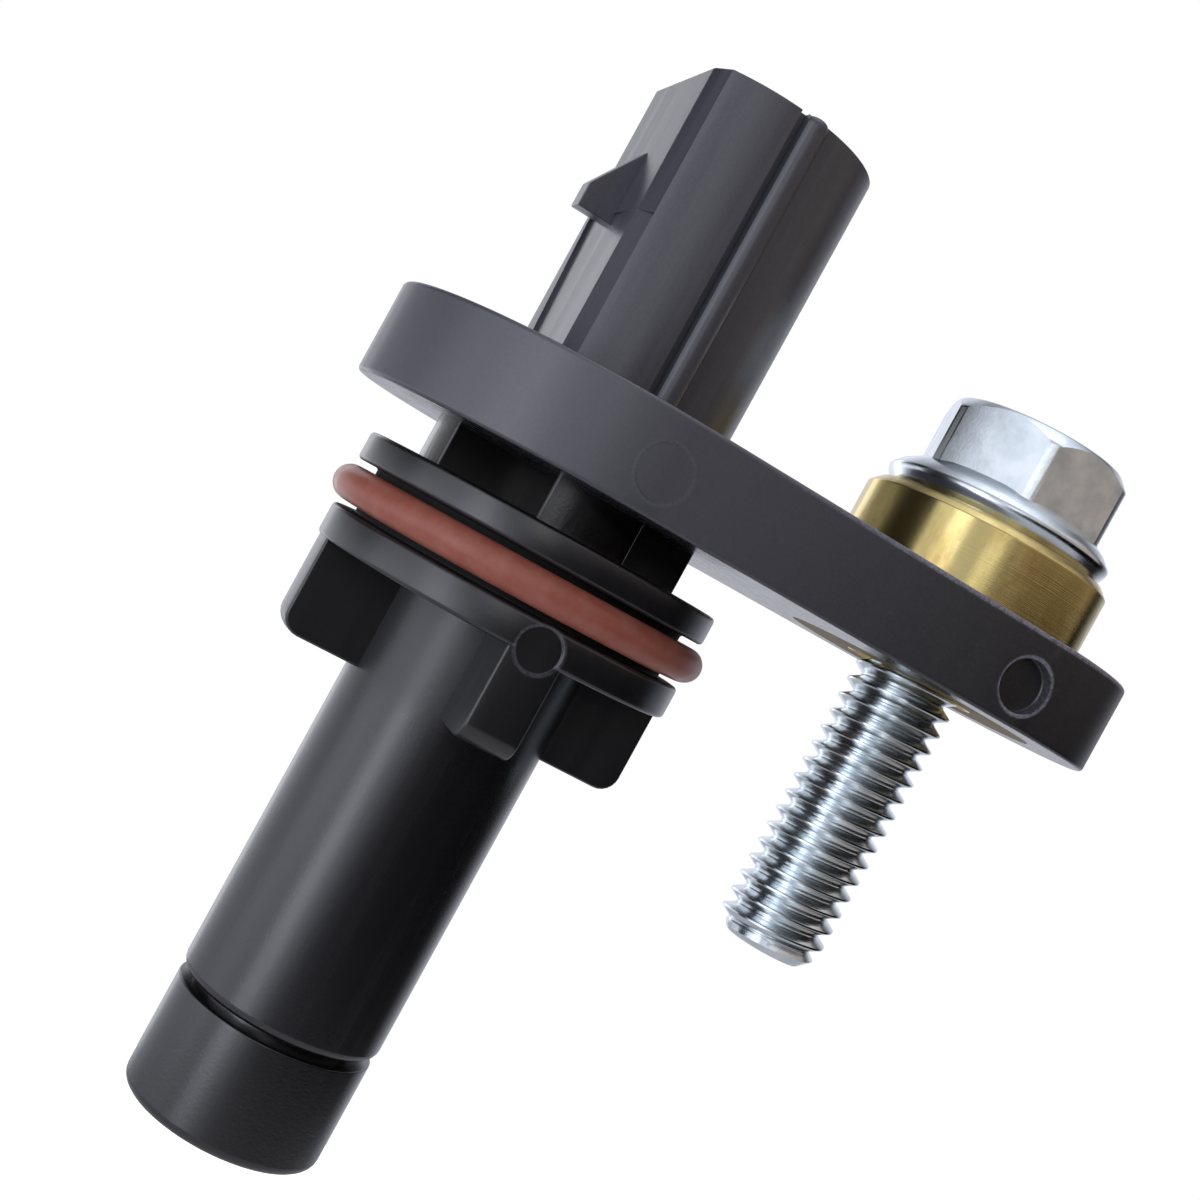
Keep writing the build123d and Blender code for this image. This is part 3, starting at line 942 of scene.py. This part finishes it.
        # the step sinks towards the back, and its back edge leans
        step = plate([(self.flat_x - 0.025, -5.6), (self.flat_x + 0.2, 3.4), (out, 3.4), (out, -5.6)], low, high)
        for vert in step.verts:
            if vert.co.y > 0:
                vert.co.y += 0.6 if vert.co.z > 8 else -0.6
        groove = plate([(-4.91, -4.346), (-4.068, -5.682), (-4.496, -6.439), (out, -6.439), (out, -4.346)], low, high)
        return [step, groove]

    def hollows(self) -> list[BMesh]:
        """Makes the cutters of the hole for the bush, the bore for the cup and the room for the inner pieces.

        Returns:
            The cutters.
        """
        wide, slim, low, top = self.bush_radius, self.cup_radius, self.barrel_low - 1, self.cup_top
        bush = turned([(0, -1), (wide, -1), (wide, 6), (0, 6)], 192, (self.bolt_x, 0))
        bore = turned([(0, low), (slim, low), (slim, top), (0, top)], 160)
        x, y = self.room
        carrier = plate([(x, y), (-x, y), (-x, -y), (x, -y)], -25.0, 5.8)
        rounded(carrier, 0.6, 6, lambda a, b: abs(a.z - b.z) > 1)
        return [bush, bore, carrier, *(node_copy(f"terminal_{number}") for number in (1, 2, 3))]

    def build(self) -> None:
        """Builds the moulding."""
        bm = combined("UNION", self.spigot(), self.webs(), self.neck(), self.flange(), self.connector())
        bm = combined(
            "DIFFERENCE", bm,
            self.ring_mark((0.45, -11.9, 2.1), 1.35, 0.04),
            self.pin_mark((22.45, -10.2, 2.1), 1.40, 0.9),
            self.pin_mark((0.0, -9.8, -7.5), 1.12, 0.22),
            *self.hollows(),
        )
        finish_piece("housing_moulding", bm, self.nylon, "housing")


@dataclass
class NoseCup:
    """Cup below the open groove, held in the barrel by its collar."""

    nylon: Material
    radius: float = 5.375
    collar: float = 4.625
    bore: float = 4.025
    low: float = -36.4
    shoulder: float = -30.4
    top: float = -24.4
    floor: float = -35.6

    def build(self) -> None:
        """Builds the cup as a turned shell."""
        corners = [
            (0, self.low), (self.radius, self.low, 0.6, 6), (self.radius, self.shoulder, 0.1, 3),
            (self.collar, self.shoulder), (self.collar, self.top, 0.1, 2), (self.bore, self.top),
            (self.bore, self.floor), (0, self.floor),
        ]
        finish_piece("nose_cup_moulding", turned(corners, 160), self.nylon, "nose_cup")


@dataclass
class SealingRing:
    """Rubber ring on the floor of its groove."""

    rubber: Material
    section: float = 1.78
    floor_radius: float = 8.65
    height: float = -5.025

    def build(self) -> None:
        """Spins the ring's round section about the barrel."""
        bm = bmesh.new()
        radius = self.section / 2
        bmesh.ops.create_circle(bm, segments=40, radius=radius)
        moved(tipped(bm, 90, "X"), (self.floor_radius + radius, 0, self.height))
        bmesh.ops.spin(
            bm, geom=bm.verts[:] + bm.edges[:], cent=(0, 0, 0), axis=(0, 0, 1), angle=math.tau, steps=192,
            use_merge=True,
        )
        tidy_shell(bm)
        finish_piece("sealing_ring_rubber", bm, self.rubber, "sealing_ring")


@dataclass
class BrassBush:
    """Turned compression limiter through the flange."""

    brass: Material
    axis_x: float = 22.0
    radius: float = 7.1
    bore: float = 3.4
    top: float = 9.05
    chamfer: float = 0.5
    bore_chamfer: float = 0.3

    def build(self) -> None:
        """Spins the bush."""
        wide, bore, top, small = self.radius, self.bore, self.top, self.bore_chamfer
        corners = [
            (bore, small), (bore + small, 0.0), (wide, 0.0),
            (wide, top - self.chamfer, 0.05, 2), (wide - self.chamfer, top, 0.05, 2),
            (bore + small, top), (bore, top - small), (bore, small),
        ]
        bm = turned(corners, 192, (self.axis_x, 0.0))
        finish_piece("compression_limiter_turned", bm, self.brass, "compression_limiter")


@dataclass
class FlangeBolt:
    """Hexagon bolt with a washer face and a rolled M6 thread."""

    zinc: Material
    axis_x: float = 22.0
    seat: float = 9.05
    pitch: float = 1.0
    crest: float = 2.95           # radius
    depth: float = 0.6
    tip: float = -16.45
    thread_top: float = 1.2
    tip_chamfer: float = 0.8
    turn_deg: float = 10.9
    steps: int = 72               # of one turn of the thread
    across_flats: float = 9.85
    head_height: float = 5.75
    washer_top: float = 2.0       # above the seat, as head_height is
    washer_radius: float = 6.5
    face_radius: float = 6.1      # of the ring that presses on the bush
    collar_radius: float = 5.1    # where the hexagon rises
    shank_radius: float = 2.675
    shank_length: float = 8.2     # from the seat into the thread

    def thread(self) -> BMesh:
        """Spins one pitch of the thread's outline into a screw and trims its ends.

        Returns:
            The shell.
        """
        bm = bmesh.new()
        crest, root = self.crest, self.crest - self.depth
        outline = [     # radius and height of a flat crest, a flank and a round root
            (crest, -0.05), (crest, 0.05), (crest - 0.02, 0.08), (root + 0.08, 0.38), (root + 0.025, 0.43),
            (root, 0.48), (root, 0.52), (root + 0.025, 0.57), (root + 0.08, 0.62), (crest - 0.02, 0.92),
            (crest, 0.95),
        ]
        turns = math.ceil(self.thread_top - self.tip) + 3
        low = self.tip - 1.4
        verts = [bm.verts.new((r, 0, low + h)) for r, h in outline]
        edges = [bm.edges.new(pair) for pair in zip(verts, verts[1:])]
        bmesh.ops.spin(
            bm, geom=verts + edges, cent=(0, 0, 0), axis=(0, 0, 1), dvec=(0, 0, self.pitch / self.steps),
            angle=turns * math.tau, steps=turns * self.steps, use_merge=False,
        )
        bmesh.ops.remove_doubles(bm, verts=bm.verts, dist=1e-3)
        for height, side in ((self.tip, -1), (self.thread_top, 1)):
            cut = bmesh.ops.bisect_plane(
                bm, geom=bm.verts[:] + bm.edges[:] + bm.faces[:], plane_co=(0, 0, height),
                plane_no=(0, 0, side), clear_outer=True,
            )
            rim = [e for e in cut["geom_cut"] if isinstance(e, bmesh.types.BMEdge)]
            bmesh.ops.holes_fill(bm, edges=rim, sides=0)
        for vert in bm.verts:
            allowed = self.crest - self.tip_chamfer + (vert.co.z - self.tip)
            reach = vert.co.xy.length
            if reach > allowed > 0:
                vert.co.xy *= allowed / reach
        bmesh.ops.recalc_face_normals(bm, faces=bm.faces)
        return bm

    def washer(self) -> BMesh:
        """Spins the washer face and the shank above the thread.

        Returns:
            The shell.
        """
        seat, slim, wide = self.seat, self.shank_radius, self.washer_radius
        low, top = seat - self.shank_length, seat + self.washer_top
        return turned([
            (0, low), (slim, low), (slim, seat), (self.face_radius, seat),
            (wide, seat + 0.7, 0.15, 3), (wide, seat + 0.95, 0.12, 3), (6.0, seat + 1.45, 0.2, 3),
            (self.collar_radius, top, 0.3, 4), (0, top),
        ], 160)

    def head(self) -> BMesh:
        """Makes the hexagon, cut to its crown by a turned blank.

        Returns:
            The shell.
        """
        bm = bmesh.new()
        low, top = self.seat + 1.2, self.seat + self.head_height
        radius = self.across_flats / 2 / math.cos(math.pi / 6)
        bmesh.ops.create_circle(bm, cap_ends=True, segments=6, radius=radius)
        raised(tipped(bm, self.turn_deg + 30, "Z"), low, top)
        rounded(bm, 0.16, 3, lambda a, b: abs(a.z - b.z) > 1)
        crown = turned([
            (0, self.seat + 0.5), (5.5, self.seat + 0.5), (5.5, top - 0.8, 0.1, 2),
            (4.75, top, 0.15, 3), (0, top),
        ], 144)
        return combined("INTERSECT", bm, crown)

    def build(self) -> None:
        """Builds the bolt as one piece."""
        bm = combined("UNION", self.thread(), self.washer(), self.head())
        finish_piece("flange_bolt_plated", moved(bm, (self.axis_x, 0, 0)), self.zinc, "flange_bolt")


class Finish(Enum):
    """Finishes of the pieces that keep their CAD shape."""

    TIN = PlatedMetal("tin_plate", "#b9bab7", "#a3a49f", 0.30)
    CARRIER = PlainMoulded("carrier_nylon", "#232327", "#2f2f34", 0.5)
    CERAMIC = PlainMoulded("fired_ceramic", "#8f7350", "#a3855f", 0.45, 0.2)
    RESIN = PlainMoulded("chip_resin", "#141416", "#202024", 0.38, 0.15)
    LEG = PlatedMetal("tinned_copper", "#c2bdb2", "#ab9f8c", 0.28)
    MAGNET = PlainMoulded("sintered_magnet", "#3a3a3d", "#4b4b4e", 0.42, 0.2)
    IRON = PlatedMetal("soft_iron", "#8b8c90", "#76777b", 0.35)


INNER: dict[str, Finish] = {
    "terminal_1": Finish.TIN, "terminal_2": Finish.TIN, "terminal_3": Finish.TIN,
    "lead_carrier": Finish.CARRIER, "element_holder": Finish.CARRIER,
    "capacitor_1": Finish.CERAMIC, "capacitor_2": Finish.CERAMIC,
    "hall_element": Finish.RESIN, "element_leg_1": Finish.LEG, "element_leg_2": Finish.LEG,
    "element_leg_3": Finish.LEG, "bias_magnet": Finish.MAGNET, "pole_plate": Finish.IRON,
}


def dress_inner() -> None:
    """Gives every inner CAD node its finish."""
    made = {finish: finish.value.material() for finish in set(INNER.values())}
    for node, finish in INNER.items():
        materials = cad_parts[node].data.materials
        materials.clear()
        materials.append(made[finish])
        LOG.info("%s: %s", node, finish.name.lower())


# Studio


@dataclass(frozen=True)
class Glow:
    """A soft patch of the surroundings, brightest towards one direction."""

    toward: Triple          # from the object, along the picture's right, up and back
    level: float
    focus: float = 24.0     # how fast it fades; half its level is left about 14 degrees off


@dataclass(frozen=True)
class Softbox:
    """An oblong lamp that looks at the object, given by the part of the sky that it fills, in degrees.

    Azimuths run about the barrel's axis from +X, and heights run up from the flange's plane.
    """

    name: str
    azimuths: Pair
    heights: Pair
    level: float            # brightness of its face; 1 is white in the picture
    colour: str = "#ffffff"
    distance: float = 0.6


@dataclass
class Studio:
    """Pale floor, soft light and the photograph's camera."""

    eye: Triple = (-0.0234247, -0.0870378, -0.0037385)
    right: Triple = (0.83512, -0.26476, 0.48216)
    up: Triple = (-0.45776, 0.15152, 0.87607)
    forward: Triple = (0.30500, 0.95234, -0.00534)
    half_view_deg: float = 18.565
    sweep_centre: Triple = (0.27, 0.96, 0.0)
    sweep_ends: Pair = (0.5, 0.97)     # cosines off its centre where it starts and is white
    floor_z: float = -0.16
    floor_radius: float = 0.36
    floor_seen: float = 0.9            # glow of the floor to the camera, beside the light that falls on it
    glows: tuple[Glow, ...] = (
        Glow((-0.51, -0.01, 0.86), 1.70), Glow((-0.89, 0.09, 0.45), 0.95), Glow((0.16, 0.32, 0.93), 0.60),
        Glow((-0.98, 0.20, -0.09), 0.84), Glow((-0.95, 0.16, 0.24), 0.74), Glow((-0.04, 0.59, 0.80), 0.50),
        Glow((-0.41, 0.70, 0.59), 0.50), Glow((-0.77, 0.22, -0.60), 0.80), Glow((-0.18, 0.16, 0.97), 0.36),
        Glow((0.43, 0.49, 0.76), 0.30), Glow((0.38, 0.05, 0.92), 0.10), Glow((-0.90, 0.03, -0.43), 0.40),
        Glow((-0.76, -0.18, 0.63), 0.38), Glow((-0.13, 0.86, 0.49), 0.31), Glow((0.48, 0.88, 0.00), 1.90, 9.0),
        Glow((-0.60, 0.54, -0.59), -0.60, 40.0),     # a dark card
    )
    lamps: tuple[Softbox, ...] = (
        Softbox("key", (-151, -134), (-22, 25), 1.9, "#f3f5ff"),
        Softbox("left_fill", (-191, -153), (-14, 25), 0.86, "#f2f5ff"),
        Softbox("front_strip", (-112, -96), (0, 22), 0.9),
        Softbox("warm_fill", (-86, 6), (8, 60), 0.42, "#ffeee4", 0.16),
        Softbox("back_left", (96, 110), (-22, 25), 0.9),
        Softbox("left_back", (114, 152), (-12, 12), 0.3),
    )
    sky: str = "#f1f3ff"

    def axes(self) -> Matrix:
        """Gives the matrix that turns picture directions (right, up, back) into the row's frame."""
        return Matrix((self.right, self.up, tuple(-v for v in self.forward))).transposed()

    def camera(self) -> None:
        """Places the camera where the photograph was taken from."""
        data = bpy.data.cameras.new("camera")
        data.sensor_width = 36.0
        data.lens = data.sensor_width / 2 / math.tan(math.radians(self.half_view_deg))
        data.clip_start = 0.005
        data.clip_end = 20.0
        obj = linked("camera", data)
        obj.matrix_world = Matrix.Translation(self.eye) @ self.axes().to_4x4()
        bpy.context.scene.camera = obj

    def light(self) -> None:
        """Places the softboxes."""
        for lamp in self.lamps:
            azimuth, height = (math.radians(sum(span) / 2) for span in (lamp.azimuths, lamp.heights))
            width, length = (
                2 * lamp.distance * math.tan(math.radians(high - low) / 2)
                for low, high in (lamp.azimuths, lamp.heights)
            )
            data = bpy.data.lights.new(lamp.name, "AREA")
            data.shape = "RECTANGLE"
            data.size, data.size_y = width, length
            data.energy = lamp.level * math.pi * width * length
            data.color = linear(lamp.colour)[:3]
            obj = linked(lamp.name, data)
            flat = math.cos(height)
            direction = Vector((flat * math.cos(azimuth), flat * math.sin(azimuth), math.sin(height)))
            turn = direction.to_track_quat("Z", "Y").to_matrix().to_4x4()
            obj.matrix_world = Matrix.Translation(direction * lamp.distance) @ turn
            obj.visible_camera = False

    def world(self) -> None:
        """Makes the surroundings: soft glows, and a white sweep behind for the camera and for reflections."""
        world = bpy.data.worlds.new("studio")
        n = Nodes(world)
        direction = n.add("TexCoord", out="Generated")
        level: Value = 0.0
        for glow in self.glows:
            toward = tuple((self.axes() @ Vector(glow.toward)).normalized())
            cosine = n.add("VectorMath", (direction, toward), "Value", operation="DOT_PRODUCT")
            near = n.add("Math", (cosine, glow.focus, -glow.focus), operation="MULTIPLY_ADD")
            bright = n.add("Math", (near,), operation="EXPONENT")
            level = n.add("Math", (bright, glow.level, level), operation="MULTIPLY_ADD")
        facing = n.add("VectorMath", (direction, self.sweep_centre), "Value", operation="DOT_PRODUCT")
        sweep = n.add("MapRange", (facing, *self.sweep_ends), interpolation_type="SMOOTHSTEP")
        rays = n.add("LightPath").node.outputs
        seen = rays["Is Camera Ray"]
        mirrored = n.add("Math", (rays["Is Glossy Ray"], rays["Is Transmission Ray"]), operation="MAXIMUM")
        level = n.add("Math", (sweep, mirrored, level), operation="MULTIPLY_ADD")
        strength = n.add("Math", (level, seen), operation="MAXIMUM")
        tint = n.add("Mix", {0: seen, 6: linear(self.sky), 7: (1, 1, 1, 1)}, 2, data_type="RGBA")
        n.fill(n.tree.nodes["Background"], {"Color": tint, "Strength": strength})
        bpy.context.scene.world = world

    def floor(self) -> None:
        """Lays the pale floor, white to the camera but for the object's shadow."""
        bm = bmesh.new()
        bmesh.ops.create_circle(bm, cap_ends=True, segments=96, radius=self.floor_radius)
        obj = meshed("floor", moved(bm, (0, 0, self.floor_z)))
        s = Shader("floor_paper", "#f4f4f4")
        seen = s.add("LightPath", out="Is Camera Ray")
        glow = s.add("Math", (seen, self.floor_seen), operation="MULTIPLY")
        obj.data.materials.append(s.finished(Roughness=0.9, Emission_Color=(1, 1, 1, 1), Emission_Strength=glow))

    def build(self) -> None:
        """Builds the whole studio."""
        bpy.context.scene.view_settings.view_transform = "Standard"
        self.camera()
        self.light()
        self.world()
        self.floor()


def main() -> None:
    """Builds every piece and the studio."""
    logging.basicConfig(level=logging.INFO, format="%(name)s: %(message)s")
    Studio().build()
    Housing(MouldedNylon().material()).build()
    NoseCup(MouldedNylon("cup_nylon", (SkinAndPaintedLight(-40.0, -20.0, "#0e0e11", 0.25),)).material()).build()
    SealingRing(MouldedRubber().material()).build()
    BrassBush(TurnedMetal("turned_brass", "#cdbb7e", "#b3995c", "#7d6c4a", 0.18).material()).build()
    FlangeBolt(PlatedMetal("blue_zinc", "#e6edf1", "#d0dade", 0.20).material()).build()
    dress_inner()


if __name__ == "__main__":
    main()
